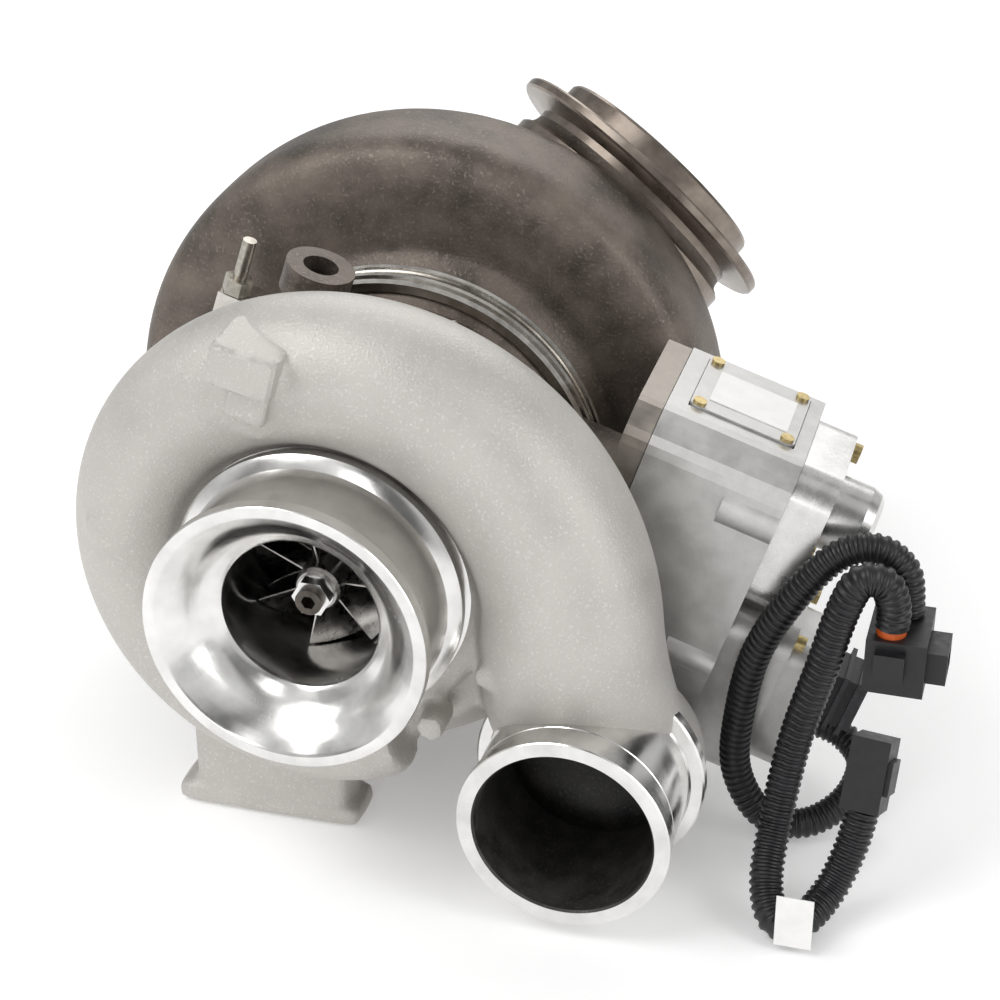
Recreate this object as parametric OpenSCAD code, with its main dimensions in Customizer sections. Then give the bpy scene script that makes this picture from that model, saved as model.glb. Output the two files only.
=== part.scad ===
// Variable-geometry turbocharger with an electric actuator and its wiring harness.
// +Y runs along the rotor shaft from the compressor inlet to the turbine, +Z is up.
// The origin is the centre of the compressor inlet's front rim.

/* [Stance] */
// Lean of the actuator side about the shaft, in degrees
lean = 18; // [14:1:20]
// Drop from the shaft to the surface that it stands on
floor_drop = 132; // [130:1:145]

/* [Compressor] */
// Radius of the inlet lip
inlet_r = 57.5; // [56:0.5:60]
// Radius of the throat ahead of the wheel
throat_r = 32; // [27:0.5:38]
// Outer radius of the scroll at its small end
scroll_r = 95; // [92:1:114]
// Growth of the scroll's outer radius over its sweep
scroll_growth = 40; // [32:1:48]
// Tube radius at the scroll's small end
scroll_tube_small = 17; // [14:0.5:20]
// Tube radius at the scroll's large end
scroll_tube_large = 36; // [34:0.5:38]
// Wall of the compressor castings
cover_wall = 5; // [4:0.5:6]
// Outer radius of the outlet spigot
outlet_r = 43.5; // [40:0.5:46]
// Bore radius of the outlet spigot
outlet_bore_r = 36.5; // [30:0.5:37.5]
// Number of full blades on the compressor wheel
wheel_blades = 7; // [5:1:9]

/* [Shaft and bearings] */
// Radius of the rotor shaft at its bearings
shaft_r = 8; // [6.5:0.1:9.6]
// Wall of the floating journal bushes
bush_wall = 3; // [2:0.25:3.6]
// Radial running clearance of the bushes
bush_gap = 0.05; // [0.02:0.01:0.08]
// Outer radius of the bearing housing drum
drum_r = 78; // [74:1:80]
// Wall of the bearing housing drum
drum_wall = 7; // [6:0.5:9]

/* [Turbine] */
// Outer radius of the turbine volute at its large end
volute_r = 142; // [136:1:146]
// Outer radius of the turbine volute at its small end
volute_small_r = 112; // [108:1:118]
// Half width of the volute along the shaft
volute_half = 31; // [28:1:31]
// Wall of the turbine casting
volute_wall = 7; // [6:0.5:8]
// Number of sliding nozzle vanes
vane_count = 13; // [9:1:15]
// Stroke of the nozzle ring
nozzle_stroke = 10; // [8:0.5:11]
// Radius of the outlet flange
outflange_r = 71; // [66:0.5:76]
// Distance from the shaft to the outlet flange, along the outlet
outflange_reach = 122; // [116:1:128]

/* [Actuator] */
// Length of the gearbox along the cross shaft
gearbox_l = 60; // [56:1:66]
// Depth of the gearbox along the rotor shaft
gearbox_d = 75; // [72:1:76]
// Height of the gearbox top above the rotor shaft
gearbox_top = 94; // [92:1:98]
// Wall of the gearbox casting
gearbox_wall = 3.5; // [3:0.25:4.5]
// Radius of the electric motor
motor_r = 14; // [11.5:0.5:14.5]
// Radius of the cross shaft
cross_r = 5; // [4.2:0.1:6]

/* [Harness] */
// Diameter of the main conduit
main_d = 13; // [11:0.5:13]
// Diameter of the branch conduit
branch_d = 14; // [12:0.5:14]

/* [Hidden] */
$fn = 72;
fine = 0.3;
touch = 0.02;

// Stations along the shaft
lip_l = 6;
bead_y = 41;
collar_y = 57;
scroll_y = 60;
throat_y = 18;
wheel_y = 47;
wheel_back_y = 87;
cover_back_y = 95;
backplate_t = 6;
housing_y = cover_back_y + backplate_t;
core_end_y = 146;
flange_y = 156;
turbine_y = flange_y + fine;

// Rotor
exducer_r = 49;
hub_r = 9.5;
wheel_gap = 0.5;
stub_r = shaft_r - 2.5;
bush_r = shaft_r + bush_gap + bush_wall;
core_bore_r = bush_r + bush_gap;
core_r = core_bore_r + 9;
thrust_y = housing_y + 8;
bush_l = 12;
front_bush_y = thrust_y + 5;
rear_bush_y = core_end_y - bush_l - 2;
turbine_back_y = flange_y + 16;
turbine_len = 40;
turbine_wheel_r = 46;
turbine_exit_r = 38;

// Compressor scroll: the angle falls from the tongue round to the outlet
scroll_from = -70;
scroll_sweep = 292;
outlet_x = 107;
outlet_z = -82;
outlet_face_y = 16;
outlet_ring_y = 64;
corner_r = 45;
corner_y = 80;
corner_depth = 21;
outlet_run = outlet_ring_y + 3 - outlet_face_y;
tube_sides = 18;

// Turbine volute: the angle rises from the tongue round to the inlet
volute_from = -115;
volute_sweep = 295;
volute_y = 214;
volute_corner = 3;
inlet_flange_t = 14;
inlet_flange = [92, 76];
inlet_port = [58, 42];
inlet_bolts = [72, 58];
outlet_dir = [0.561, 0.514, 0.649];
outlet_from_y = 235;
outlet_turn = atan2(outlet_dir[0], outlet_dir[1]);
outlet_tilt = acos(outlet_dir[2] / norm(outlet_dir));
turbine_bore_r = 46;

// Nozzle and its drive
nozzle_in = 52;
nozzle_out = 72;
nozzle_y = turbine_y + 18;
nozzle_t = 5;
vane_l = 19;
vane_len = 15;
vane_t = 2.6;
vane_r = 62;
shroud_y = nozzle_y + nozzle_t + 15;
shroud_t = 4;
rod_r = 4;
rod_x = 60;
rod_gap = 0.05;
pad_r = 4;
pad_gap = 0.4;
rod_head_t = 2.5;
rod_head_r = 9.5;
cross_y = 136;
cross_z = 38;
arm = cross_z;
stroke_angle = 2 * asin(nozzle_stroke / 2 / arm);

// Gears
sector_module = 1.25;
sector_teeth = 40;
pinion_teeth = 12;
idler_teeth = 30;
motor_teeth = 10;
idler_module = 1;
sector_r = sector_module * sector_teeth / 2;
pinion_r = sector_module * pinion_teeth / 2;
idler_r = idler_module * idler_teeth / 2;
motor_gear_r = idler_module * motor_teeth / 2;
idler_angle = 45;
idler_y = cross_y + (sector_r + pinion_r) * cos(idler_angle);
idler_z = cross_z + (sector_r + pinion_r) * sin(idler_angle);
motor_angle = 160;
motor_y = idler_y + (idler_r + motor_gear_r) * cos(motor_angle);
motor_z = idler_z + (idler_r + motor_gear_r) * sin(motor_angle);
backlash = 0.25;

// Actuator stations along the cross shaft
plate_x = 86;
gearbox_x = 97;
gearbox_out = gearbox_x + gearbox_l;
gearbox_y = 106;
port_y = 121;
gearbox_bottom = (gearbox_out * sin(lean) - floor_drop) / cos(lean);
gear_layer = gearbox_x + 4;
gear_w = 8;
big_layer = gear_layer + gear_w + 2;
big_w = 6;
wall_x = big_layer + big_w + 3;
lid_t = 4;
cap_x = gearbox_out + fine;
cap_l = 17;
motor_cap_l = 20;
lower_l = 43;
lower_top = 20;
lower_bottom = -60;
header_y = 132;
header_z = -8;
gland_y = 148;
gland_z = -36;
gland_l = 6;

// Harness routes, from each cord's first end
main_route = [[185, 148, -98], [200, 147, -103], [210, 137, -109], [206, 121, -118], [191, 108, -124],
    [173, 103, -119], [161, 103, -98], [161, 103, -70], [167, 102, -38], [181, 102, -9], [196, 106, 9],
    [211, 109, 13], [223, 110, 4], [226, 108, -14]];
branch_route = [[221, 92, -11], [221, 92, -2], [217, 91, 8], [208, 89, 9], [202, 88, -4], [196, 84, -29],
    [188, 78, -62], [184, 66, -94], [184, 50, -113], [190, 39, -123], [200, 42, -124], [209, 56, -117],
    [215, 66, -102], [218, 72, -86]];

// ---- Helpers ----

module turbo() {
    rotate([0, lean, 0]) children();
}

module on_shaft(profile) {
    rotate([-90, 0, 0]) rotate_extrude($fn = 96) polygon(profile);
}

module round_bar(x, y, z, r, l) {
    translate([x, y, z]) rotate([-90, 0, 0]) cylinder(r = r, h = l);
}

module cross_bar(x, y, z, r, l) {
    translate([x, y, z]) rotate([0, 90, 0]) cylinder(r = r, h = l);
}

module ring_bar(y, l, outer, inner) {
    on_shaft([[inner, y], [outer, y], [outer, y + l], [inner, y + l]]);
}

module spin(a) {
    rotate([0, -a, 0]) children();
}

module hex_bar(x, y, z, r, l) {
    translate([x, y, z]) rotate([-90, 0, 0]) cylinder(r = r, h = l, $fn = 6);
}

module round_box(size, r) {
    linear_extrude(height = size[2]) {
        translate([r, 0]) square([size[0] - 2 * r, size[1]]);
        translate([0, r]) square([size[0], size[1] - 2 * r]);
        for (x = [r, size[0] - r], y = [r, size[1] - r]) translate([x, y]) circle(r = r, $fn = 32);
    }
}

// Joins rings of points, each with the same count, into one closed tube
module skin(rings) {
    n = len(rings[0]);
    m = len(rings);
    points = [for (r = rings, p = r) p];
    sides = [for (i = [0:m - 2], j = [0:n - 1])
        each [[i * n + j, (i + 1) * n + j, i * n + (j + 1) % n],
            [i * n + (j + 1) % n, (i + 1) * n + j, (i + 1) * n + (j + 1) % n]]];
    first = [[for (j = [0:n - 1]) j]];
    last = [[for (j = [n - 1:-1:0]) (m - 1) * n + j]];
    polyhedron(points = points, faces = concat(first, sides, last), convexity = 8);
}

function unit(v) = v / norm(v);
function mix(a, b, t) = a + (b - a) * t;
function catmull(p0, p1, p2, p3, t) =
    0.5 * ((2 * p1) + (p2 - p0) * t + (2 * p0 - 5 * p1 + 4 * p2 - p3) * t * t
    + (3 * p1 - p0 - 3 * p2 + p3) * t * t * t);
function spline(p, steps) = [
    for (i = [0:len(p) - 2], s = [0:steps - 1])
        catmull(p[max(i - 1, 0)], p[i], p[i + 1], p[min(i + 2, len(p) - 1)], s / steps),
    p[len(p) - 1]];
function tangent(p, i) = unit(p[min(i + 1, len(p) - 1)] - p[max(i - 1, 0)]);
function carry(p, i, n) = unit(n - (n * tangent(p, i)) * tangent(p, i));
function normals(p, i, n) = i == len(p) ? [] :
    let (c = carry(p, i, n)) concat([c], normals(p, i + 1, c));
function cord_rings(p, r, sides, first_normal) =
    let (ns = normals(p, 0, first_normal))
    [for (i = [0:len(p) - 1]) let (u = ns[i], v = cross(tangent(p, i), u))
        [for (j = [0:sides - 1]) p[i] + r * (cos(360 * j / sides) * u + sin(360 * j / sides) * v)]];

// ---- Compressor ----

function scroll_angle(s) = scroll_from - scroll_sweep * s;
function scroll_tube(s) = mix(scroll_tube_small, scroll_tube_large, s);
function scroll_out(s) = scroll_r + scroll_growth * (0.58 * pow(s, 0.45) + 0.42 * pow(s, 5));
function scroll_ring(s, wall) =
    let (a = scroll_angle(s), r = scroll_tube(s), c = scroll_out(s) - r, k = r - wall)
    [for (j = [0:tube_sides - 1]) let (b = 360 * j / tube_sides, q = c + k * cos(b))
        [q * cos(a), scroll_y - k * sin(b), q * sin(a)]];
// Duct from the scroll's end down to the outlet's corner, in the scroll's own plane
function duct_ring(t, wall) =
    let (a = scroll_angle(1), c = scroll_out(1) - scroll_tube_large,
        p0 = c * [cos(a), sin(a)], p1 = p0 + 26 * [sin(a), -cos(a)],
        p3 = [outlet_x, outlet_z], p2 = p3 + [-5, 24], u = 1 - t,
        p = u * u * u * p0 + 3 * u * u * t * p1 + 3 * u * t * t * p2 + t * t * t * p3,
        d = unit(u * u * (p1 - p0) + 2 * u * t * (p2 - p1) + t * t * (p3 - p2)),
        k = mix(scroll_tube_large, corner_r - 2, t) - wall, y = mix(scroll_y, corner_y, t * t),
        h = mix(scroll_tube_large, corner_depth - 2, t * t) - wall)
    [for (j = [0:tube_sides - 1]) let (b = 360 * j / tube_sides, q = k * cos(b))
        [p[0] - q * d[1], y - h * sin(b), p[1] + q * d[0]]];

module scroll_body(wall) {
    skin(concat(
        [for (i = [wall > 0 ? 1 : 0:26]) scroll_ring(i / 26, wall)],
        [for (i = [1:5]) duct_ring(i / 5, wall)]));
    r = corner_r - wall;
    h = corner_depth - wall;
    translate([outlet_x, 0, outlet_z]) on_shaft(concat([[0, outlet_ring_y + 2 + wall], [r, outlet_ring_y + 2 + wall]],
        [for (a = [0:6:84]) [r * cos(a), corner_y + h * sin(a)]], [[0, corner_y + h * sin(84)]]));
}

module cover_lug() {
    translate([-32, 24, 92]) rotate([0, -14, 0]) round_box([24, 30, 16], 4);
    translate([-30, 32, 60]) rotate([0, -14, 0]) cube([18, 18, 36]);
}

module cover_boss(a, r, y, size) {
    spin(a) round_bar(r, y, 0, size, scroll_y - 2.7 - y);
}

module compressor_cover() {
    color("gainsboro") difference() {
        union() {
            on_shaft([[throat_r + 1, throat_y], [inlet_r - 5, 0.8], [inlet_r - 4.2, 0], [inlet_r, 0],
                [inlet_r, lip_l], [inlet_r - 2.5, lip_l + 1], [inlet_r - 2.5, bead_y - 4],
                [inlet_r + 2.5, bead_y - 2.5], [inlet_r + 2.5, bead_y + 2.5], [inlet_r - 0.5, bead_y + 4],
                [inlet_r - 0.5, collar_y - 6], [inlet_r + 12, collar_y - 2], [inlet_r + 12, collar_y + 6],
                [scroll_r - 12, collar_y + 8], [scroll_r + 4, cover_back_y - 8], [scroll_r + 4, cover_back_y],
                [throat_r + 1, cover_back_y]]);
            scroll_body(0);
            round_bar(outlet_x, outlet_face_y, outlet_z, outlet_r, 6);
            round_bar(outlet_x, outlet_face_y + 5, outlet_z, outlet_r - 2, outlet_run - 5);
            round_bar(outlet_x, outlet_ring_y - 1, outlet_z, outlet_r + 4.5, 5);
            cover_lug();
            cover_foot();
            cover_boss(80, 86, 34, 7);
            cover_boss(-22, 76, 38, 6);
            cover_boss(-52, 74, 40, 6);
            cover_boss(170, 94, 36, 5);
            cover_boss(-150, 88, 40, 5);
            cover_boss(27, 90, 30, 6);
        }
        scroll_body(cover_wall);
        round_bar(outlet_x, outlet_face_y - 1, outlet_z, outlet_bore_r, outlet_run + 6.5);
        on_shaft([[0, -1], [inlet_r - 4.8, -1], [inlet_r - 4.8, 0.6], [inlet_r - 9, 2.4], [46.5, 5.5],
            [42, 10], [39, throat_y - 2], [throat_r + 1.5, throat_y + 1], [throat_r, throat_y + 3],
            [throat_r, wheel_y + 6], [throat_r + 1.2, wheel_y + 16], [throat_r + 5, wheel_y + 25],
            [throat_r + 11, wheel_y + 31], [exducer_r + 3, wheel_y + 34], [scroll_r - 24, wheel_y + 34.5],
            [scroll_r - 24, cover_back_y - 6], [scroll_r - 5, cover_back_y - 6],
            [scroll_r - 5, cover_back_y + 1], [0, cover_back_y + 1]]);
        for (a = [22.5:45:359]) spin(a) round_bar(scroll_r, cover_back_y - 10, 0, 2.6, 12);
    }
}

// Cast foot under the scroll, level with the surface it stands on
module cover_foot() {
    translate([-78, 60, -floor_drop]) cube([84, 27, 9]);
    translate([-70, 64, -floor_drop + 5]) cube([70, 19, floor_drop - scroll_r + 10]);
}

module clamp_site() {
    for (a = [22.5:45:359]) spin(a) children();
}

module cover_clamps() {
    color("slategray") clamp_site() intersection() {
        ring_bar(cover_back_y + backplate_t + fine - 3, 3, scroll_r + 3.6, scroll_r - 8.5);
        translate([0, 0, -13]) cube([200, 200, 26]);
        difference() {
            cube([400, 400, 400], center = true);
            round_bar(scroll_r, cover_back_y, 0, 2.8, 12);
        }
    }
}

module cover_bolts() {
    color("silver") clamp_site() {
        round_bar(scroll_r, cover_back_y - 8, 0, 2.5, backplate_t + 8 + fine);
        hex_bar(scroll_r, cover_back_y + backplate_t + fine, 0, 5, 4.5);
    }
}

module cover_seal() {
    color("black") ring_bar(cover_back_y - 3.9, 2, scroll_r - 5.6, scroll_r - 8.4);
}

module backplate() {
    color("silver") on_shaft([[core_bore_r + 6, cover_back_y - 6], [scroll_r - 10, cover_back_y - 6],
        [scroll_r - 10, cover_back_y - 4.2], [scroll_r - 8.6, cover_back_y - 4.2],
        [scroll_r - 8.6, cover_back_y - 1.6], [scroll_r - 5.4, cover_back_y - 1.6],
        [scroll_r - 5.4, cover_back_y + 3], [scroll_r - 6, cover_back_y + 3],
        [scroll_r - 6, cover_back_y + backplate_t - 3], [scroll_r - 9, cover_back_y + backplate_t - 3],
        [scroll_r - 9, housing_y - fine / 2], [core_bore_r + 6, housing_y - fine / 2]]);
}

// Flat plate cut to the channel between the hub and the shroud
module blade(a, y0, y1, t) {
    intersection() {
        spin(a) translate([hub_r / 2, y0 - 1, -t / 2]) cube([exducer_r, y1 - y0 + 2, t]);
        on_shaft([[hub_r / 2, y0], [throat_r - wheel_gap, y0], [throat_r - wheel_gap, wheel_y + 6],
            [throat_r + 0.7, wheel_y + 16], [throat_r + 4, wheel_y + 25.5], [throat_r + 9.5, wheel_y + 32],
            [exducer_r - 1.5, wheel_y + 35], [exducer_r - 1.5, y1], [hub_r / 2, y1]]);
    }
}

function hub_at(y) =
    let (s = max(0, min(1, (y - wheel_y + 4) / (wheel_back_y - 4 - wheel_y + 4))))
    hub_r + 36 * pow(s, 3.2);

module compressor_wheel() {
    color("silver") difference() {
        union() {
            on_shaft(concat([[0, wheel_y - 8], [hub_r - 1, wheel_y - 8], [hub_r, wheel_y - 6]],
                [for (i = [0:9]) let (y = wheel_y - 4 + i * (wheel_back_y - wheel_y) / 9) [hub_at(y), y]],
                [[exducer_r - 2, wheel_back_y - 3], [exducer_r - 2, wheel_back_y], [0, wheel_back_y]]));
            for (i = [0:wheel_blades - 1]) {
                blade(360 * i / wheel_blades, wheel_y, wheel_back_y - 2, 1.4);
                blade(360 * (i + 0.5) / wheel_blades, wheel_y + 11, wheel_back_y - 2, 1.4);
            }
        }
        round_bar(0, wheel_y - 9, 0, stub_r + 0.02, 60);
    }
}

module wheel_nut() {
    color("dimgray") difference() {
        union() {
            ring_bar(wheel_y - 9.5, 1.5, hub_r - 2, stub_r + 0.02);
            hex_bar(0, wheel_y - 15, 0, 8 * stub_r / 5.5, 5.5);
        }
        round_bar(0, wheel_y - 20, 0, stub_r + 0.02, 30);
    }
}

// ---- Rotor and bearings ----

module shaft() {
    color("lightsteelblue") difference() {
        union() {
            round_bar(0, wheel_y - 18, 0, stub_r, wheel_back_y + 4 - wheel_y + 18);
            round_bar(0, wheel_back_y + 4, 0, stub_r, thrust_y - wheel_back_y);
            round_bar(0, thrust_y + 4, 0, shaft_r, turbine_back_y - thrust_y - 4);
        }
        hex_bar(0, wheel_y - 19, 0, stub_r * 0.55, 7);
    }
}

module thrust_collar() {
    color("silver") difference() {
        union() {
            ring_bar(thrust_y - 1.5, 1.4, core_bore_r + 0.5, stub_r + 0.02);
            ring_bar(thrust_y - 0.1, 3.1, shaft_r + 1, stub_r + 0.02);
            ring_bar(thrust_y + 3, 1, core_bore_r + 0.5, stub_r + 0.02);
        }
    }
}

module thrust_bearing() {
    color("peru") difference() {
        ring_bar(thrust_y + 0.1, 2.7, core_r - 1, shaft_r + 1.3);
        for (a = [0:60:359]) spin(a) round_bar(core_bore_r - 0.2, thrust_y - 1, 0, 0.7, 6);
    }
}

module oil_slinger() {
    color("silver") on_shaft([[stub_r + 0.02, wheel_back_y + fine], [core_bore_r + 2, wheel_back_y + fine],
        [core_bore_r + 2, cover_back_y + 4], [core_bore_r + 4, cover_back_y + 5],
        [core_bore_r + 4, cover_back_y + 6], [shaft_r + 1, thrust_y - 1.5], [stub_r + 0.02, thrust_y - 1.5]]);
}

module journal_bushes() {
    color("peru") for (y = [front_bush_y, rear_bush_y]) difference() {
        ring_bar(y, bush_l, bush_r, shaft_r + bush_gap);
        for (a = [0:90:359]) spin(a) cross_bar(shaft_r - 1, y + bush_l / 2, 0, 1.2, bush_wall + 3);
    }
}

module bush_spacer() {
    color("silver") ring_bar(front_bush_y + bush_l + fine / 2, rear_bush_y - front_bush_y - bush_l - fine,
        bush_r - 0.4, shaft_r + 0.8);
}

module seal_rings() {
    color("gray") {
        ring_bar(cover_back_y - 2, 1.6, core_bore_r + 6 - touch, core_bore_r + 2.1);
        ring_bar(core_end_y + 4, 1.6, core_bore_r - touch, shaft_r + 0.1);
    }
}

// ---- Bearing housing ----

module housing_profile() {
    on_shaft([[core_bore_r, housing_y], [scroll_r - 9, housing_y], [scroll_r - 9, housing_y + 6],
        [drum_r, housing_y + 10], [drum_r, core_end_y], [drum_r + 4, core_end_y + 4],
        [drum_r + 4, flange_y], [core_bore_r, flange_y]]);
}

module housing_cavity() {
    on_shaft([[core_r, thrust_y + 2], [drum_r - drum_wall, thrust_y + 2],
        [drum_r - drum_wall, core_end_y], [core_r, core_end_y]]);
    ring_bar(housing_y - 1, thrust_y + 5.5 - housing_y, core_r, core_bore_r - 1);
}

module oil_port() {
    turbo() {
        translate([-54, port_y, 30]) cylinder(r = 12, h = 52);
        translate([-54, port_y, 78]) cylinder(r = 14.5, h = 12.5);
    }
}

module bearing_housing() {
    color("darkgray") difference() {
        union() {
            housing_profile();
            oil_port();
            turbo() {
                cross_bar(-drum_r + 4, cross_y, cross_z, cross_r + 7, 20);
                translate([drum_r - 14, housing_y + 8, -50]) cube([plate_x - drum_r + 14 - fine, pad_l, 110]);
                translate([-24, 106, -drum_r - 12]) cube([48, 34, 24]);
            }
        }
        housing_cavity();
        turbo() {
            translate([-54, port_y, 62]) cylinder(r = 7.5, h = 40);
            translate([0, 123, -drum_r - 20]) cylinder(r = 11, h = 40);
            for (x = [-17, 17]) translate([x, 123, -drum_r - 20]) cylinder(r = 3, h = 16);
            for (x = [-rod_x, rod_x]) {
                round_bar(x, core_end_y - 10, 0, rod_r + rod_gap, 30);
                round_bar(x, core_end_y - 1, 0, rod_head_r + 0.6, 4);
            }
            cross_bar(-cross_end, cross_y, cross_z, cross_r + 2, cross_end + plate_x);
            for (z = [-40, 50]) cross_bar(plate_x - 12, plate_bolt_y, z, 2.52, 20);
        }
    }
}

cross_reach = 50;
cross_end = 70;
pad_l = core_end_y - housing_y - 9;
plate_bolt_y = housing_y + 16;

module drain_bolts() {
    color("silver") turbo() for (x = [-17, 17]) {
        translate([x, 123, -drum_r - 12]) cylinder(r = 3 - touch, h = 7);
        translate([x, 123, -drum_r - 17]) cylinder(r = 5.5, h = 5, $fn = 6);
    }
}

module heat_shield() {
    color("dimgray") on_shaft([[shaft_r + 3, flange_y + 2.2], [nozzle_in - 4, flange_y + 2.2],
        [nozzle_in - 4, flange_y + fine], [nozzle_in - 2, flange_y + fine], [nozzle_in - 2, flange_y + 4],
        [shaft_r + 3, flange_y + 4]]);
}

module band_profile() {
    on_shaft([[drum_r + 4.3, core_end_y + 2], [drum_r + 8, core_end_y + 2], [drum_r + 9.5, core_end_y + 5],
        [drum_r + 9.5, flange_y + 7], [drum_r + 8, flange_y + 11], [drum_r + 4.3, flange_y + 11]]);
}

band_x = -drum_r - 16;
module v_band() {
    color("silver") {
        difference() {
            band_profile();
            turbo() translate([band_x - 30, core_end_y - 4, 20]) cube([60, 40, 14]);
        }
        turbo() for (z = [10, 34]) difference() {
            translate([band_x - 6, core_end_y + 3, z]) cube([drum_r * 0.2 + 6, flange_y + 7 - core_end_y, 10]);
            translate([band_x, flange_y - 1, z - 1]) cylinder(r = 3.4, h = 12);
            band_cut();
        }
    }
}

module band_cut() {
    ring_bar(core_end_y, 40, drum_r + 9.4, 1);
}

module v_band_bolt() {
    color("silver") turbo() {
        translate([band_x, flange_y - 1, 5.9]) cylinder(r = 3, h = 64);
        translate([band_x - 6, flange_y - 6, 3]) cube([12, 10, 6.8]);
    }
}

module v_band_nut() {
    color("silver") turbo() difference() {
        translate([band_x, flange_y - 1, 44.2]) cylinder(r = 6.4, h = 7, $fn = 6);
        translate([band_x, flange_y - 1, 40]) cylinder(r = 3.02, h = 20);
    }
}

// ---- Turbine ----

function volute_out(s) = mix(volute_small_r, volute_r, pow(s, 0.75));
function volute_depth(s) = mix(26, 37, s);
function corner(v) = sign(v) * pow(abs(v), 2 / volute_corner);
function volute_ring(s, wall) =
    let (a = volute_from + volute_sweep * s, d = volute_depth(s), c = volute_out(s) - d,
        w = volute_half - wall, k = d - wall)
    [for (j = [0:tube_sides - 1]) let (b = 360 * (j + 0.5) / tube_sides,
        q = c + k * corner(cos(b))) [q * cos(a), volute_y + w * corner(sin(b)), q * sin(a)]];
function inlet_ring(t, wall) =
    let (a = volute_from + volute_sweep, d = volute_depth(1), c = volute_out(1) - d,
        k = mix(d, inlet_port[0] / 2 + volute_wall, t) - wall,
        w = mix(volute_half, inlet_port[1] / 2 + volute_wall, t) - wall)
    [for (j = [0:tube_sides - 1]) let (b = 360 * (j + 0.5) / tube_sides)
        [-c + k * -corner(cos(b)), volute_y + w * corner(sin(b)), mix(0, inlet_flange_t - floor_drop, t)]];

module volute_body(wall) {
    skin(concat([for (i = [0:24]) volute_ring(i / 24, wall)],
        [for (i = [1:4]) inlet_ring(i / 4, wall)]));
}

module along_outlet() {
    translate([0, outlet_from_y, 0]) rotate([0, 0, -outlet_turn]) rotate([-outlet_tilt, 0, 0]) children();
}

inlet_x = -(volute_out(1) - volute_depth(1));

module turbine_housing() {
    color("dimgray") difference() {
        union() {
            volute_body(0);
            on_shaft([[shroud_in, turbine_y], [drum_r + 4, turbine_y], [drum_r + 4, turbine_y + 6],
                [drum_r, turbine_y + 12], [drum_r, volute_y - 38], [drum_r + 16, volute_y - 28],
                [drum_r + 16, volute_y],
                [drum_r + 10, outlet_from_y - 3], [turbine_bore_r + 8, outlet_from_y + 8],
                [shroud_in, outlet_from_y + 8]]);
            translate([0, outlet_from_y - 4, 0]) sphere(r = turbine_bore_r + 14);
            along_outlet() {
                cylinder(r = turbine_bore_r + 9, h = outflange_reach);
                translate([0, 0, outflange_reach - 22]) cylinder(r = outflange_r - 10, h = 11);
                translate([0, 0, outflange_reach]) cylinder(r = outflange_r, h = 5);
                translate([0, 0, outflange_reach + 5]) cylinder(r = turbine_bore_r + 8.5, h = 11);
            }
            translate([inlet_x - inlet_flange[0] / 2, volute_y - inlet_flange[1] / 2, -floor_drop])
                round_box([inlet_flange[0], inlet_flange[1], inlet_flange_t], 12);
        }
        volute_body(volute_wall);
        translate([inlet_x - inlet_port[0] / 2, volute_y - inlet_port[1] / 2, -floor_drop - 1])
            round_box([inlet_port[0], inlet_port[1], inlet_flange_t + 4], 9);
        for (x = [-1, 1], y = [-1, 1])
            translate([inlet_x + x * inlet_bolts[0] / 2 * 1.05, volute_y + y * inlet_bolts[1] / 2 * 1.05,
                -floor_drop - 1]) cylinder(r = 5.2, h = inlet_flange_t + 2);
        on_shaft([[0, turbine_y - 1], [nozzle_out + 1.5, turbine_y - 1], [nozzle_out + 1.5, shroud_y + shroud_t],
            [turbine_bore_r - 4, shroud_y + shroud_t], [turbine_bore_r - 4, outlet_from_y], [0, outlet_from_y]]);
        ring_bar(volute_y - volute_half + volute_wall - 6, passage_l, drum_r + 7, nozzle_in);
        ring_bar(shroud_y + shroud_t - 1, nozzle_stroke + 2, vane_r + 4.6, vane_r - 5);
        translate([0, outlet_from_y - 4, 0]) sphere(r = turbine_bore_r);
        along_outlet() cylinder(r = turbine_bore_r, h = outflange_reach + 20);
    }
}

shroud_in = turbine_bore_r - 4;
passage_l = shroud_y - volute_y + volute_half - volute_wall + 6;

module turbine_blade(a) {
    intersection() {
        spin(a) translate([6, turbine_back_y, -0.9]) cube([turbine_wheel_r, turbine_len + 4, 1.8]);
        on_shaft([[6, turbine_back_y + 1], [turbine_wheel_r, turbine_back_y + 1],
            [turbine_wheel_r, shroud_y - 7], [turbine_wheel_r - 2.5, shroud_y - 3],
            [turbine_exit_r, shroud_y], [turbine_exit_r, turbine_back_y + turbine_len],
            [6, turbine_back_y + turbine_len]]);
    }
}

function turbine_hub(y) =
    let (s = max(0, min(1, (y - turbine_back_y) / turbine_len))) 11 + 20 * pow(1 - s, 3);

module turbine_wheel() {
    color("saddlebrown") {
        on_shaft(concat([[0, turbine_back_y], [turbine_wheel_r - 8, turbine_back_y],
            [turbine_wheel_r - 8, turbine_back_y + 2.5]],
            [for (i = [1:8]) let (y = turbine_back_y + turbine_len * i / 8) [turbine_hub(y), y]],
            [[9, turbine_back_y + turbine_len + 6], [0, turbine_back_y + turbine_len + 6]]));
        for (i = [0:10]) turbine_blade(360 * i / 11);
    }
}

// ---- Nozzle ring and its drive ----

module vane_outline(grow) {
    polygon([for (s = [0:0.125:1]) [vane_len * (s - 0.5) + grow * (2 * s - 1),
        vane_t * 0.5 * sqrt(sin(180 * pow(s, 0.7)) + 0.02) + grow],
        for (s = [1:-0.125:0]) [vane_len * (s - 0.5) + grow * (2 * s - 1),
        -vane_t * 0.5 * sqrt(sin(180 * pow(s, 0.7)) + 0.02) - grow]]);
}

module vane_prism(grow, y, l) {
    for (i = [0:vane_count - 1]) spin(360 * i / vane_count)
        translate([vane_r, y, 0]) rotate([-90, 0, 0]) rotate([0, 0, 66])
            linear_extrude(height = l) vane_outline(grow);
}

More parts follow.
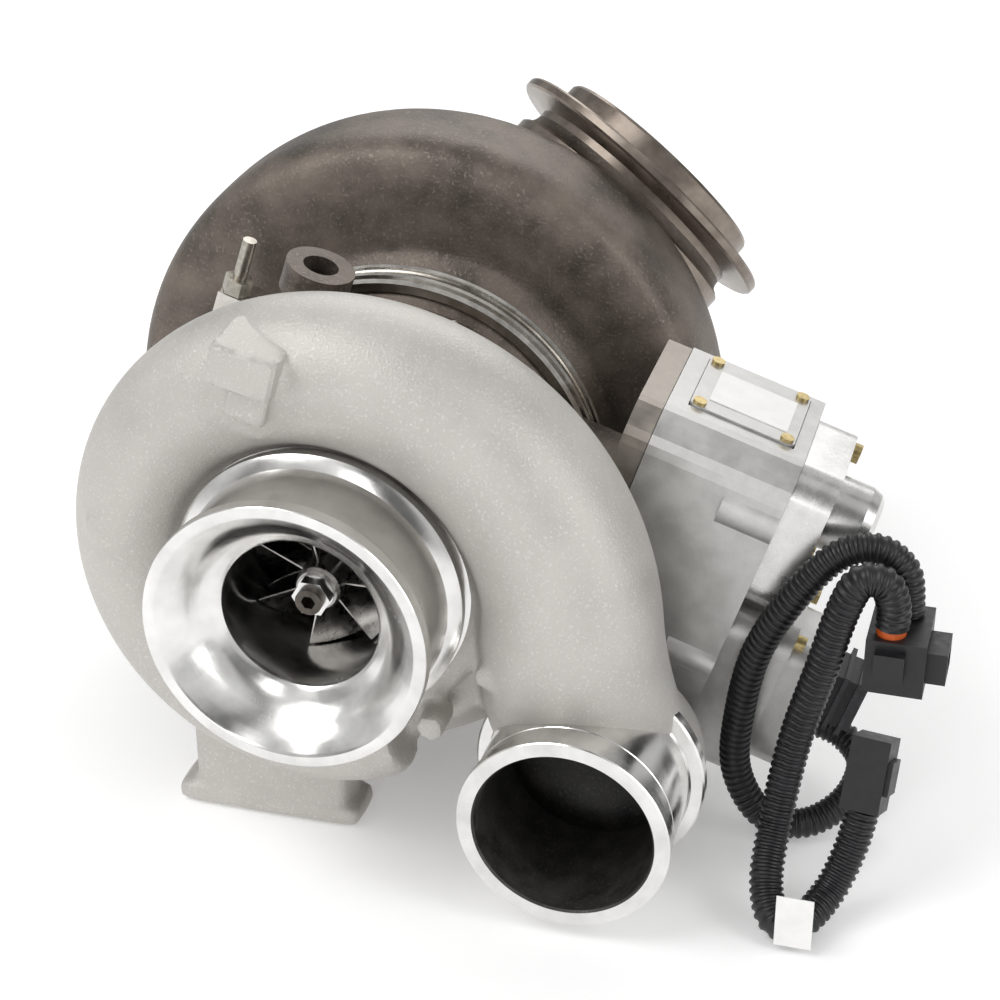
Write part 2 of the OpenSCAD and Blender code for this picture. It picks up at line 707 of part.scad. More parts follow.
module nozzle_ring() {
    color("darkslategray") {
        difference() {
            ring_bar(nozzle_y, nozzle_t, nozzle_out, nozzle_in);
            turbo() for (x = [-rod_x, rod_x]) round_bar(x, nozzle_y - 1, 0, rod_r + touch, 3.5);
        }
        vane_prism(0, nozzle_y + nozzle_t - 0.5, vane_l + 0.5);
    }
}

module push_rods() {
    color("silver") turbo() for (x = [-1, 1]) {
        round_bar(x * rod_x, rod_pad_y - pad_r - pad_gap - rod_head_t, 0, rod_r,
            nozzle_y + 2.4 - rod_pad_y + pad_r + pad_gap + rod_head_t);
        for (y = [rod_pad_y - pad_r - pad_gap - rod_head_t, rod_pad_y + pad_r + pad_gap])
            round_bar(x * rod_x, y, 0, rod_head_r, rod_head_t);
    }
}

rod_pad_y = cross_y - nozzle_stroke / 2;

module shroud_plate() {
    color("darkslategray") difference() {
        ring_bar(shroud_y, shroud_t - fine, nozzle_out + 1.2, nozzle_in - 4);
        vane_prism(0.5, shroud_y - 1, shroud_t + 2);
    }
}

module shroud_clip() {
    color("silver") difference() {
        ring_bar(shroud_y - 2.3, 2, nozzle_out + 1.4, nozzle_out - 0.6);
        translate([0, shroud_y - 5, -4]) cube([200, 20, 8]);
    }
}

module yoke() {
    color("silver") turbo() difference() {
        union() {
            cross_bar(-cross_reach, cross_y, cross_z, cross_r + 4, 2 * cross_reach);
            for (x = [-1, 1]) translate([x * (cross_reach - 2), cross_y, cross_z])
                rotate([yoke_tilt, 0, 0]) {
                    translate([-2, -4, -arm]) cube([4, 8, arm]);
                    translate([x > 0 ? -2 : -pad_reach, 0, -arm]) rotate([0, 90, 0])
                        cylinder(r = pad_r, h = pad_reach + 2);
                }
        }
        cross_bar(-cross_reach - 1, cross_y, cross_z, cross_r + 0.02, 2 * cross_reach + 2);
    }
}

yoke_tilt = -stroke_angle / 2;
pad_reach = rod_x - rod_r - 0.6 - cross_reach + 2;

module cross_shaft() {
    color("lightsteelblue") turbo() cross_bar(fine - cross_end, cross_y, cross_z, cross_r,
        gear_layer + gear_w + cross_end + 1);
}

module cross_bushes() {
    color("peru") turbo() {
        difference() {
            union() {
                cross_bar(touch - cross_end, cross_y, cross_z, cross_r + 2 - touch, 10);
                cross_bar(plate_x - 14, cross_y, cross_z, cross_r + 2 - touch, 12);
            }
            cross_bar(-cross_end - 1, cross_y, cross_z, cross_r + 0.05, 200);
        }
    }
}

// Involute gear outline: module, teeth, tip height and root depth in modules
function inv_point(rb, r) = let (t = sqrt(max(0, r * r / rb / rb - 1))) t * 180 / PI - atan(t);
function tooth_half(m, z, r) =
    let (rp = m * z / 2, rb = rp * cos(20))
    (90 / z) - backlash / 2 / rp * 180 / PI / 2 + inv_point(rb, rp) - inv_point(rb, max(r, rb));
module gear_outline(m, z, tip, root, from, to) {
    rp = m * z / 2;
    ro = rp + m * tip;
    ri = rp - m * root;
    radii = [ri, max(rp * cos(20), ri + 0.1 * m), rp - 0.2 * m, rp + 0.35 * m, ro];
    polygon([for (i = [from:to]) let (a = 360 * i / z)
        each concat([for (r = radii) r * [cos(a - tooth_half(m, z, r)), sin(a - tooth_half(m, z, r))]],
            [for (k = [4:-1:0]) let (r = radii[k])
                r * [cos(a + tooth_half(m, z, r)), sin(a + tooth_half(m, z, r))]])]);
}

// Turns local +Z to the cross shaft's direction with local X along +Y
module gear_axis(x, y, z) {
    translate([x, y, z]) rotate([90, 0, 90]) children();
}

module sector_gear() {
    color("gray") turbo() gear_axis(gear_layer, cross_y, cross_z) difference() {
        union() {
            cylinder(r = cross_r + 4, h = gear_w);
            linear_extrude(height = gear_w) rotate([0, 0, idler_angle]) {
                intersection() {
                    gear_outline(sector_module, sector_teeth, 0.8, 1.35, 0, sector_teeth - 1);
                    polygon([[0, 0], [60 * cos(34), -60 * sin(34)], [60, 0], [60 * cos(34), 60 * sin(34)]]);
                }
            }
        }
        translate([0, 0, -1]) cylinder(r = cross_r + 0.02, h = gear_w + 2);
    }
}

module idler_gear() {
    color("silver") turbo() gear_axis(gear_layer, idler_y, idler_z) difference() {
        union() {
            linear_extrude(height = gear_w + 2) rotate([0, 0, idler_angle + 180 + 180 / pinion_teeth])
                gear_outline(sector_module, pinion_teeth, 0.8, 1.35, 0, pinion_teeth - 1);
            translate([0, 0, gear_w + 2]) linear_extrude(height = big_w) rotate([0, 0, motor_angle])
                gear_outline(idler_module, idler_teeth, 0.8, 1.35, 0, idler_teeth - 1);
        }
        translate([0, 0, -1]) cylinder(r = 3.05, h = 40);
    }
}

module idler_pin() {
    color("lightsteelblue") turbo() cross_bar(gearbox_x - 4, idler_y, idler_z, 3, wall_x - gearbox_x + 4 + touch);
}

module motor_can() {
    color("darkgray") turbo() difference() {
        cross_bar(wall_x + 3 + touch, motor_y, motor_z, motor_r, gearbox_out - wall_x + 4);
        cross_bar(wall_x + 5, motor_y, motor_z, motor_r - 1.5, gearbox_out - wall_x + 0.5);
        cross_bar(wall_x, motor_y, motor_z, 3.05, 8);
    }
}

module motor_rotor() {
    color("chocolate") turbo() {
        cross_bar(big_layer, motor_y, motor_z, 3, gearbox_out - big_layer + 3);
        cross_bar(wall_x + 9, motor_y, motor_z, motor_r - 3, gearbox_out - wall_x - 6);
        gear_axis(big_layer, motor_y, motor_z) linear_extrude(height = big_w)
            rotate([0, 0, motor_angle + 180 + 180 / motor_teeth])
            gear_outline(idler_module, motor_teeth, 0.8, 1.35, 0, motor_teeth - 1);
    }
}

// ---- Actuator ----

// Gearbox outline looking inward along the cross shaft: rounded at the top front
module gearbox_outline(grow) {
    y0 = gearbox_y - grow;
    y1 = gearbox_y + gearbox_d + grow;
    z0 = gearbox_bottom - grow;
    z1 = gearbox_top + grow;
    r = 16 + grow;
    polygon(concat([[y1, z0 + 10], [y1, z1 - 4], [y1 - 4, z1]],
        [for (a = [90:15:180]) [y0 + r + r * cos(a), z1 - r + r * sin(a)]],
        [[y0, z0 + 30], [y0 + 22, z0], [y1 - 10, z0]]));
}

module gearbox_slab(x, l, grow) {
    translate([x, 0, 0]) rotate([90, 0, 90]) linear_extrude(height = l) gearbox_outline(grow);
}

module gearbox_plate() {
    color("gray") turbo() difference() {
        gearbox_slab(plate_x, gearbox_x - plate_x - fine, -0.6);
        cross_bar(plate_x - 1, cross_y, cross_z, cross_r + 2, 20);
        cross_bar(gearbox_x - 4, idler_y, idler_z, 3 + touch, 20);
        for (z = [-40, 50]) cross_bar(plate_x - 1, plate_bolt_y, z, 2.52, 20);
        ring_bar(core_end_y - 4, flange_y + 30 - core_end_y, drum_r + 10.5, 1);
    }
}

module plate_bolts() {
    color("silver") turbo() for (z = [-40, 50]) {
        cross_bar(plate_x - 10, plate_bolt_y, z, 2.5, 10 + gearbox_x - plate_x);
        translate([gearbox_x - fine + touch, plate_bolt_y, z]) rotate([0, 90, 0]) cylinder(r = 4, h = 3.2, $fn = 6);
    }
}

module gearbox_housing() {
    color("lightgray") turbo() difference() {
        union() {
            gearbox_slab(gearbox_x, gearbox_l, 0);
            cross_bar(gearbox_x + 36, gearbox_y + 9, 68, 11, gearbox_l - 36);
            cross_bar(gearbox_out - 22, gearbox_y + 5, -4, 8, 22);
        }
        gearbox_slab(gearbox_x - 1, wall_x - gearbox_x + 1, -gearbox_wall);
        gearbox_slab(wall_x + 3, gearbox_out - wall_x - 3 - gearbox_wall, -gearbox_wall);
        cross_bar(wall_x - 1, idler_y, idler_z, 3 + touch, 3);
        cross_bar(gearbox_out - 6, motor_y, motor_z, motor_r + touch, 8);
        cross_bar(wall_x - 1, motor_y, motor_z, 3.6, 8);
        translate([gearbox_x + 8, gearbox_y + 22, gearbox_top - lid_t])
            cube([gearbox_l - 14, gearbox_d - 30, lid_t + 1]);
        translate([gearbox_x + 14, gearbox_y + 28, gearbox_top - lid_t - 6])
            cube([gearbox_l - 26, gearbox_d - 42, 12]);
    }
}

lid_sites = [for (x = [gearbox_x + 12, gearbox_out - 10], y = [gearbox_y + 25, gearbox_y + gearbox_d - 11]) [x, y]];

module gearbox_lid() {
    color("white") turbo() difference() {
        translate([gearbox_x + 8 + fine, gearbox_y + 22 + fine, gearbox_top - lid_t + touch])
            round_box([gearbox_l - 14 - 2 * fine, gearbox_d - 30 - 2 * fine, lid_t + 1], 3);
        for (p = lid_sites) translate([p[0], p[1], gearbox_top - lid_t - 1]) cylinder(r = 1.7, h = 12);
    }
}

module lid_screws() {
    color("silver") turbo() for (p = lid_sites)
        translate([p[0], p[1], gearbox_top - lid_t + touch]) {
            cylinder(r = 1.5, h = lid_t + 1.2);
            translate([0, 0, lid_t + 1 + touch]) cylinder(r = 2.8, h = 1.6);
        }
}

module label_plate() {
    color("whitesmoke") turbo() translate([gearbox_x + 15, gearbox_y + 31, gearbox_top + 1 + 2 * touch])
        cube([gearbox_l - 26, gearbox_d - 48, 0.4]);
}

module control_board() {
    color("green") turbo() {
        translate([wall_x + 3.2, gearbox_y + 14, -50]) cube([1.6, 46, 90]);
        for (z = [-40, -16, 8]) translate([wall_x + 4.8, gearbox_y + 24, z]) cube([5, 22, 14]);
    }
}

module end_cap() {
    color("silver") turbo() difference() {
        union() {
            translate([cap_x, gearbox_y + 6, lower_top + 4]) rotate([90, 0, 90])
                round_box([gearbox_d - 12, gearbox_top - lower_top - 6, cap_l], 14);
        }
        cross_bar(cap_x - 1, motor_y, motor_z, motor_r + fine, 9);
        translate([cap_x - 1, gearbox_y + 22, lower_top + 10]) cube([cap_l - 6, 30, 16]);
    }
}

cap_sites = [[gearbox_y + 13, lower_top + 12], [gearbox_y + gearbox_d - 14, lower_top + 12],
    [gearbox_y + gearbox_d - 14, gearbox_top - 11]];

module cap_screws() {
    color("silver") turbo() for (p = cap_sites)
        translate([cap_x + cap_l + touch, p[0], p[1]]) rotate([0, 90, 0]) cylinder(r = 4.2, h = 4);
}

module motor_cap() {
    color("lightgray") turbo() {
        cross_bar(cap_x + cap_l + touch, motor_y, motor_z, motor_r + 2, motor_cap_l - 6);
        translate([cap_x + cap_l + motor_cap_l - 6, motor_y, motor_z]) rotate([0, 90, 0])
            rotate_extrude() polygon([[0, 0], [motor_r + 2, 0], [motor_r + 0.6, 4], [motor_r - 2, 6], [0, 6]]);
    }
}

module lower_cover() {
    color("lightgray") turbo() {
        translate([cap_x, gearbox_y + 8, lower_bottom]) rotate([90, 0, 90])
            round_box([gearbox_d - 14, lower_top - lower_bottom, lower_l - 16], 12);
        translate([cap_x + lower_l - 16.5, gearbox_y + 16, lower_bottom + 8]) rotate([90, 0, 90])
            round_box([gearbox_d - 32, lower_top - lower_bottom - 18, 16.5], 9);
    }
}

lower_sites = [[gearbox_y + 18, lower_top - 7], [gearbox_y + gearbox_d - 12, lower_top - 10],
    [gearbox_y + gearbox_d - 12, lower_bottom + 9]];

module lower_screws() {
    color("silver") turbo() for (p = lower_sites)
        translate([cap_x + lower_l - 16 + touch, p[0], p[1]]) rotate([0, 90, 0]) cylinder(r = 3.4, h = 4.5);
}

header_x = cap_x + lower_l + touch;
module header_socket() {
    color("whitesmoke") turbo() {
        difference() {
            translate([header_x, header_y - 10, header_z - 9]) cube([20, 20, 24]);
            translate([header_x + 6, header_y - 7.5, header_z - 6.5]) cube([20, 15, 19]);
        }
        for (i = [0:2]) translate([header_x + 3 + 6 * i, header_y - 12.5, header_z - 11]) cube([2, 25, 28]);
        for (z = [header_z - 1, header_z + 6]) translate([header_x + 3, header_y - 1, z]) cube([14, 2, 2]);
    }
}

module main_gland() {
    color("dimgray") turbo() difference() {
        cross_bar(header_x, gland_y, gland_z, main_d / 2 + 2.5, gland_l);
        cross_bar(header_x + gland_l - 3, gland_y, gland_z, main_d / 2 - 2, 4);
    }
}

module orient(d) {
    rotate([0, acos(d[2]), atan2(d[1], d[0])]) children();
}

// ---- Harness ----

module main_conduit() {
    color("black") skin(cord_rings(spline(main_route, 4), main_d / 2, 12, [0, 0, 1]));
}

module branch_conduit() {
    color("black") skin(cord_rings(spline(branch_route, 4), branch_d / 2, 12, [1, 0, 0]));
}

plug_top = -14;
module loop_plug() {
    color("black") difference() {
        union() {
            translate([212, 84, plug_top - 24]) cube([24, 32, 24]);
            translate([236, 90, plug_top - 20]) cube([8, 18, 14]);
            translate([216, 80, plug_top - 16]) cube([12, 4, 12]);
        }
        translate([238, 93, plug_top - 18]) cube([8, 12, 10]);
    }
}

module loop_seal() {
    color("orangered") translate([221, 92, plug_top]) cylinder(r = 6, h = 3);
}

plug_way = [2, 14, 30];
module end_plug() {
    color("black") {
        p = branch_route[len(branch_route) - 1];
        translate(p) orient(unit(plug_way)) {
            translate([-9, -8, 0]) cube([18, 16, 30]);
            translate([-7, -10, 8]) cube([14, 3, 14]);
        }
    }
}

module tag_flag() {
    color("white") translate([191, 31.2, 3 - floor_drop]) cube([15, 0.5, 24]);
}

compressor_cover();
cover_clamps();
cover_bolts();
cover_seal();
backplate();
compressor_wheel();
wheel_nut();
shaft();
thrust_collar();
thrust_bearing();
oil_slinger();
journal_bushes();
bush_spacer();
seal_rings();
bearing_housing();
drain_bolts();
heat_shield();
v_band();
v_band_bolt();
v_band_nut();
turbine_housing();
turbine_wheel();
nozzle_ring();
push_rods();
shroud_plate();
shroud_clip();
yoke();
cross_shaft();
cross_bushes();
sector_gear();
idler_gear();
idler_pin();
motor_can();
motor_rotor();
gearbox_plate();
plate_bolts();
gearbox_housing();
gearbox_lid();
lid_screws();
label_plate();
control_board();
end_cap();
cap_screws();
motor_cap();
lower_cover();
lower_screws();
header_socket();
main_gland();
main_conduit();
branch_conduit();
loop_plug();
loop_seal();
end_plug();
tag_flag();
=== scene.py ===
"""Looks for a variable-geometry turbocharger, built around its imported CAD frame.

Lengths in the shape functions are millimetres; solid() turns them to metres once."""
import math
import bmesh
import bpy
import numpy as np
from mathutils import Matrix, Vector


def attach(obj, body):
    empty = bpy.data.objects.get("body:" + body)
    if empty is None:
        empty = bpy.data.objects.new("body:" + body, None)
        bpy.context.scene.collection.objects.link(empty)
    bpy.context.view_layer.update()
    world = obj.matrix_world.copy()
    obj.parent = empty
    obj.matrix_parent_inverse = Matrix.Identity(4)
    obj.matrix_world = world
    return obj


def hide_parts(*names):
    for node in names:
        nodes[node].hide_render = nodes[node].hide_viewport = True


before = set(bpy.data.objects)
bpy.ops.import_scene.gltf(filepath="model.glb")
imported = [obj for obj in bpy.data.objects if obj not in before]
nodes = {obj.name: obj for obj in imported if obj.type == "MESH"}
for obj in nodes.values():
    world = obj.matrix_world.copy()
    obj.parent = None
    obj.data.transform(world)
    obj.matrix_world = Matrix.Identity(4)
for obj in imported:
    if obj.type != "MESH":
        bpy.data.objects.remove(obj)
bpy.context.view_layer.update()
MM = 0.001

# ---- Camera ----

EYE = Vector((282.2, -693.2, 466.9)) * MM
RIGHT = Vector((0.9625, 0.272, 0)).normalized()
FORWARD = Vector((-0.2386, 0.845, -0.479)).normalized()
UP = RIGHT.cross(FORWARD).normalized()
camera_data = bpy.data.cameras.new("camera")
camera_data.lens = 82.8
camera_data.sensor_width = 36
camera_data.clip_end = 20
camera = bpy.data.objects.new("camera", camera_data)
bpy.context.scene.collection.objects.link(camera)
camera.matrix_world = Matrix((
    (RIGHT[0], UP[0], -FORWARD[0], EYE[0]), (RIGHT[1], UP[1], -FORWARD[1], EYE[1]),
    (RIGHT[2], UP[2], -FORWARD[2], EYE[2]), (0, 0, 0, 1)))
bpy.context.scene.camera = camera

# ---- Mesh helpers ----


def piece(name, vertices, faces, smooth=35):
    """One mesh object from arrays of points in metres and a list of faces, shaded smooth up to an angle."""
    mesh = bpy.data.meshes.new(name)
    mesh.from_pydata(np.asarray(vertices).tolist(), [], faces)
    mesh.validate()
    obj = bpy.data.objects.new(name, mesh)
    bpy.context.scene.collection.objects.link(obj)
    shade(mesh, smooth)
    return obj


def shade(mesh, smooth):
    """Smooth shading, with edges sharper than the given angle left crisp."""
    mesh.polygons.foreach_set("use_smooth", np.ones(len(mesh.polygons), bool))
    mesh.set_sharp_from_angle(angle=math.radians(smooth))


def around_once(count):
    """Angles evenly spaced round a circle, as a row."""
    return np.linspace(0, 2 * np.pi, count, endpoint=False)[None, :]


def tube(rings):
    """Closed skin over rings of points (rows, around, 3): quads between rows and a flat face at each end."""
    m, n = rings.shape[:2]
    i, j = np.meshgrid(np.arange(m - 1), np.arange(n), indexing="ij")
    k = (j + 1) % n
    quads = np.stack([i * n + j, (i + 1) * n + j, (i + 1) * n + k, i * n + k], -1).reshape(-1, 4)
    faces = quads.tolist() + [list(range(n)), list(range((m - 1) * n, m * n))[::-1]]
    return rings.reshape(-1, 3), faces


def turned(profile, around=96):
    """Closed ring from a closed profile of (radius, y): each point goes round the Y axis."""
    p = np.asarray(profile, float)
    a = around_once(around).T
    points = np.stack([p[:, 0] * np.cos(a), p[:, 1] + 0 * a, p[:, 0] * np.sin(a)], -1)
    n = len(p)
    i, j = np.meshgrid(np.arange(around), np.arange(n), indexing="ij")
    i2, k = (i + 1) % around, (j + 1) % n
    quads = np.stack([i * n + j, i2 * n + j, i2 * n + k, i * n + k], -1).reshape(-1, 4)
    return points.reshape(-1, 3), quads.tolist()


def lathe(profile, around=96):
    """Closed solid from an open profile of (radius, y) whose ends are closed by flat faces."""
    p = np.asarray(profile, float)
    a = around_once(around)
    r, y = p[:, :1], p[:, 1:]
    return tube(np.stack([r * np.cos(a), y + 0 * a, r * np.sin(a)], -1))


def soft_block(low, high, power=6, turn=0.0):
    """Block with rounded edges: a sphere grid pushed out by a superellipsoid of the given power."""
    low, high = np.array(low, float), np.array(high, float)
    v = np.linspace(-np.pi / 2 + 0.02, np.pi / 2 - 0.02, 30)[:, None]
    u = around_once(60)
    d = np.stack([np.cos(v) * np.cos(u), np.cos(v) * np.sin(u), np.sin(v) + 0 * u], -1)
    d = d / (np.abs(d) ** power).sum(-1, keepdims=True) ** (1 / power)
    points = d * (high - low) / 2
    c, s = math.cos(turn), math.sin(turn)
    points = points @ np.array([[c, 0, s], [0, 1, 0], [-s, 0, c]]).T + (low + high) / 2
    return tube(points)


def moved(shell, offset=(0, 0, 0), rotation=None):
    """A shell turned by a 3 by 3 matrix, then carried by an offset."""
    points, faces = shell
    if rotation is not None:
        points = points @ np.asarray(rotation, float).T
    return points + np.asarray(offset, float), faces


def joined(shells):
    """Several shells as one set of points and faces."""
    points, faces, start = [], [], 0
    for p, f in shells:
        points.append(p)
        faces += [[start + i for i in face] for face in f]
        start += len(p)
    return np.concatenate(points), faces


def outward(obj):
    """Turns every face of a closed mesh outwards."""
    b = bmesh.new()
    b.from_mesh(obj.data)
    bmesh.ops.recalc_face_normals(b, faces=b.faces)
    b.to_mesh(obj.data)
    b.free()


def solid(name, shells, smooth=35):
    """One piece from millimetre shells, with faces outwards."""
    points, faces = joined(shells)
    obj = piece(name, points * MM, faces, smooth)
    outward(obj)
    shade(obj.data, smooth)
    return obj


def baked(obj, smooth):
    """Replaces a piece's mesh by the result of its modifiers."""
    graph = bpy.context.evaluated_depsgraph_get()
    mesh = bpy.data.meshes.new_from_object(obj.evaluated_get(graph))
    old = obj.data
    obj.modifiers.clear()
    obj.data = mesh
    bpy.data.meshes.remove(old)
    shade(mesh, smooth)
    return obj


# Edges of a casting sharper than this many degrees stay crisp
CAST_CREASE = 30
# How nearly a face must look at the bore's axis to count as inside and take the painted shade: the cosine of
# the angle between them
INWARD = 0.7


def casting(name, shells, cuts, skin, inside, grain, rounds=5):
    """Cast body: shells are fused on a voxel grid and smoothed, so that joints fillet, then bores are cut.

    grain is the voxel size in millimetres and rounds the number of smoothing passes. The cut faces take the
    material called inside, whose darker colour is painted shade in the bores."""
    body = solid(name, shells)
    body.data.materials.append(skin)
    fuse = body.modifiers.new("fuse", "REMESH")
    fuse.mode = "VOXEL"
    fuse.voxel_size = grain * MM
    fillet = body.modifiers.new("fillet", "SMOOTH")
    fillet.factor = 0.6
    fillet.iterations = rounds
    baked(body, CAST_CREASE)
    for cut in cuts:
        cutter = solid(name + "_cutter", [cut])
        cutter.data.materials.append(inside)
        bore = body.modifiers.new("bore", "BOOLEAN")
        bore.operation = "DIFFERENCE"
        bore.object = cutter
        bore.solver = "EXACT"
        bore.material_mode = "TRANSFER"
        bpy.context.view_layer.update()
        baked(body, CAST_CREASE)
        bpy.data.objects.remove(cutter)
    return body


def paint_inside(obj, centre, inside):
    """Gives a second, darker material to faces that look at the axis along Y through centre (x, z, in mm),
    as painted shade in the bore.
    """
    obj.data.materials.append(inside)
    for face in obj.data.polygons:
        towards = np.array([centre[0] * MM - face.center[0], centre[1] * MM - face.center[2]])
        facing = face.normal[0] * towards[0] + face.normal[2] * towards[1]
        if facing > INWARD * np.linalg.norm(towards):
            face.material_index = 1


# ---- Materials ----


def linear(code):
    """An sRGB hex colour as linear red, green, blue and alpha."""
    c = np.array([int(code[i:i + 2], 16) for i in (1, 3, 5)]) / 255
    return (*np.where(c <= 0.04045, c / 12.92, ((c + 0.055) / 1.055) ** 2.4), 1.0)


def add(tree, kind, inputs=None, links=None, **settings):
    """Adds one node, sets its properties and input values, and links inputs to other nodes' outputs."""
    made = tree.nodes.new(kind)
    for key, value in settings.items():
        setattr(made, key, value)
    for key, value in (inputs or {}).items():
        made.inputs[key].default_value = value
    for key, (source, output) in (links or {}).items():
        tree.links.new(source.outputs[output], made.inputs[key])
    return made


# The wave node counts its phase in radians, so its scale is divided by one turn
WAVE_TURN = 6.283


def grain_per_mm(size):
    """Noise scale on metre coordinates whose spots are about this many millimetres across."""
    return 1000 / size


# Sockets of the mix node that carry colours: its first and second inputs, and its output
MIX_FIRST, MIX_SECOND, MIX_RESULT = 6, 7, 2


def finish_of(name, colours, metallic, roughness, mottle=8.0, grain=0.9, bump=0.25, depth=0.1,
              spread=(0.35, 0.65), rings=None, speck=None):
    """One material: mottled colour between two hex colours, with fine grain or turned lines in its bump.

    mottle and grain are spot sizes and depth the bump's height, in millimetres. spread is the noise values
    that the two colours sit at. rings sets the size of tool marks along Y, which lie about twice that many
    millimetres apart, and speck is a third colour for the grain's peaks."""
    m = bpy.data.materials.new(name)
    m.use_nodes = True
    t = m.node_tree
    t.nodes.clear()
    out = add(t, "ShaderNodeOutputMaterial")
    place = add(t, "ShaderNodeTexCoord")
    big = add(t, "ShaderNodeTexNoise", {"Scale": grain_per_mm(mottle), "Detail": 4.0, "Roughness": 0.6},
              {"Vector": (place, "Object")})
    ramp = add(t, "ShaderNodeValToRGB", links={"Fac": (big, "Fac")})
    for stop, at, code in zip(ramp.color_ramp.elements, spread, colours):
        stop.position, stop.color = at, linear(code)
    colour = (ramp, "Color")
    fine = add(t, "ShaderNodeTexNoise", {"Scale": grain_per_mm(grain), "Detail": 3.0, "Roughness": 0.55},
               {"Vector": (place, "Object")})
    if speck:
        spots = add(t, "ShaderNodeMapRange", {"From Min": 0.56, "From Max": 0.72}, {"Value": (fine, "Fac")})
        mix = add(t, "ShaderNodeMix", {MIX_SECOND: linear(speck)},
                  {"Factor": (spots, "Result"), MIX_FIRST: colour}, data_type="RGBA")
        colour = (mix, MIX_RESULT)
    height = (fine, "Fac")
    if rings:
        lines = add(t, "ShaderNodeTexWave", {"Scale": grain_per_mm(rings) / WAVE_TURN, "Distortion": 0.6,
                    "Detail": 2.0, "Detail Scale": 1.5}, {"Vector": (place, "Object")}, bands_direction="Y")
        height = (lines, "Fac")
    bumped = add(t, "ShaderNodeBump", {"Strength": bump, "Distance": depth * MM}, {"Height": height})
    rough = add(t, "ShaderNodeMapRange", {"From Min": 0.3, "From Max": 0.7, "To Min": roughness - 0.06,
                "To Max": roughness + 0.08}, {"Value": (big, "Fac")})
    shader = add(t, "ShaderNodeBsdfPrincipled", {"Metallic": metallic},
                 {"Base Color": colour, "Roughness": (rough, "Result"), "Normal": (bumped, "Normal")})
    t.links.new(shader.outputs["BSDF"], out.inputs["Surface"])
    return m


# Sand-cast aluminium: pale, slightly warm, with a fine sandy skin
SAND_CAST = finish_of("sand_cast_aluminium", ["#bab7b2", "#c9c6c1"], 0.5, 0.5, 30, 1.1, 0.8, 0.4,
                      (0.25, 0.75), speck="#d6d3cf")
# Inside of the cast duct and bores: the same metal darkened nearly to black, as painted shade
DUCT_PAINTED_SHADE = finish_of("cast_aluminium_painted_shade", ["#2b2a29", "#454341"], 0.3, 0.5, 10, 1.3, 0.4, 0.3, speck="#56534f")
# Inside of the turbine: iron darkened nearly to black, as painted shade
TURBINE_PAINTED_SHADE = finish_of("cast_iron_painted_shade", ["#1f1c1a", "#332e2a"], 0.1, 0.7, 12, 1.3, 0.5, 0.3)
# Turned aluminium: bright, with fine tool marks round the axis
TURNED = finish_of("turned_aluminium", ["#d9d8d6", "#efeeec"], 1.0, 0.2, 22, 0.8, 0.12, 0.02, rings=0.8)
# Cast iron after its first firing: brown grey with a coarse skin and bright specks
FIRED_IRON = finish_of("fired_cast_iron", ["#4b443e", "#7d736a"], 0.55, 0.46, 26, 1.5, 0.6, 0.4, (0.3, 0.7),
                       speck="#847a70")
# Cast iron core: darker, oiled
CORE_IRON = finish_of("oiled_cast_iron", ["#4a423c", "#6e645b"], 0.5, 0.42, 12, 1.2, 0.5, 0.3,
                      speck="#7f746a")
# Turned iron of the outlet rings: smoother, brown grey
TURNED_IRON = finish_of("turned_cast_iron", ["#6f655d", "#948a80"], 0.9, 0.3, 18, 0.9, 0.15, 0.03)
# Rolled stainless band: bright and streaky
BAND = finish_of("rolled_stainless_steel", ["#bcb8b1", "#dedbd6"], 1.0, 0.22, 9, 0.8, 0.1, 0.02)
# Ground shafting steel
GROUND = finish_of("ground_steel", ["#a9a8a6", "#c6c5c2"], 1.0, 0.25, 6, 0.6, 0.08, 0.02)
# Zinc-plated bolts: slightly yellow
PLATED = finish_of("zinc_plated_steel", ["#9f9b92", "#c2bdb2"], 0.95, 0.33, 3, 0.6, 0.12, 0.03)
# Passivated screws: brassy
BRASSY = finish_of("passivated_screw", ["#a08f63", "#cbb987"], 0.95, 0.34, 2, 0.6, 0.1, 0.03)
# Bearing brass
BEARING = finish_of("bearing_brass", ["#a5793f", "#c4975a"], 1.0, 0.3, 5, 0.6, 0.1, 0.02)
# Heat-resistant alloy of the turbine side
ALLOY = finish_of("heat_resistant_alloy", ["#4b4641", "#6b655f"], 0.9, 0.4, 7, 0.9, 0.25, 0.1)
# Milled wheel: aluminium with a milled finish, its whole colour kept darker than a turned face as painted
# shade of the throat it sits in
WHEEL_SHADED_ALUMINIUM = finish_of("milled_aluminium_painted_shade", ["#8d8b88", "#b5b3b0"], 1.0, 0.28, 5, 0.7, 0.1, 0.03)
# Machined plate of the actuator's base
PLATE = finish_of("machined_plate", ["#8f8881", "#a49d95"], 0.85, 0.4, 10, 0.9, 0.2, 0.05)
# Die-cast actuator housing: even, satin
DIE_CAST = finish_of("die_cast_aluminium", ["#b4b3b1", "#cbcac8"], 0.75, 0.4, 16, 0.8, 0.2, 0.06)
# Bright cap
BRIGHT = finish_of("burnished_aluminium", ["#cfcecc", "#e4e3e1"], 0.95, 0.27, 12, 0.8, 0.1, 0.03)
# Label film: white, satin, left bare
LABEL = finish_of("label_film", ["#e9e8e6", "#f1f0ee"], 0.0, 0.42, 12, 0.8, 0.03, 0.01)
# Circuit board
BOARD = finish_of("circuit_board", ["#123d22", "#1b5130"], 0.0, 0.45, 4, 0.6, 0.1, 0.02)
# Motor rotor: lacquered copper
COPPER = finish_of("lacquered_copper", ["#7a4424", "#a4663a"], 0.8, 0.4, 3, 0.7, 0.2, 0.05)
# Polyamide hose: black, slightly dusty
HOSE = finish_of("black_polyamide", ["#0e0e10", "#1b1b1e"], 0.0, 0.4, 7, 0.9, 0.15, 0.05)
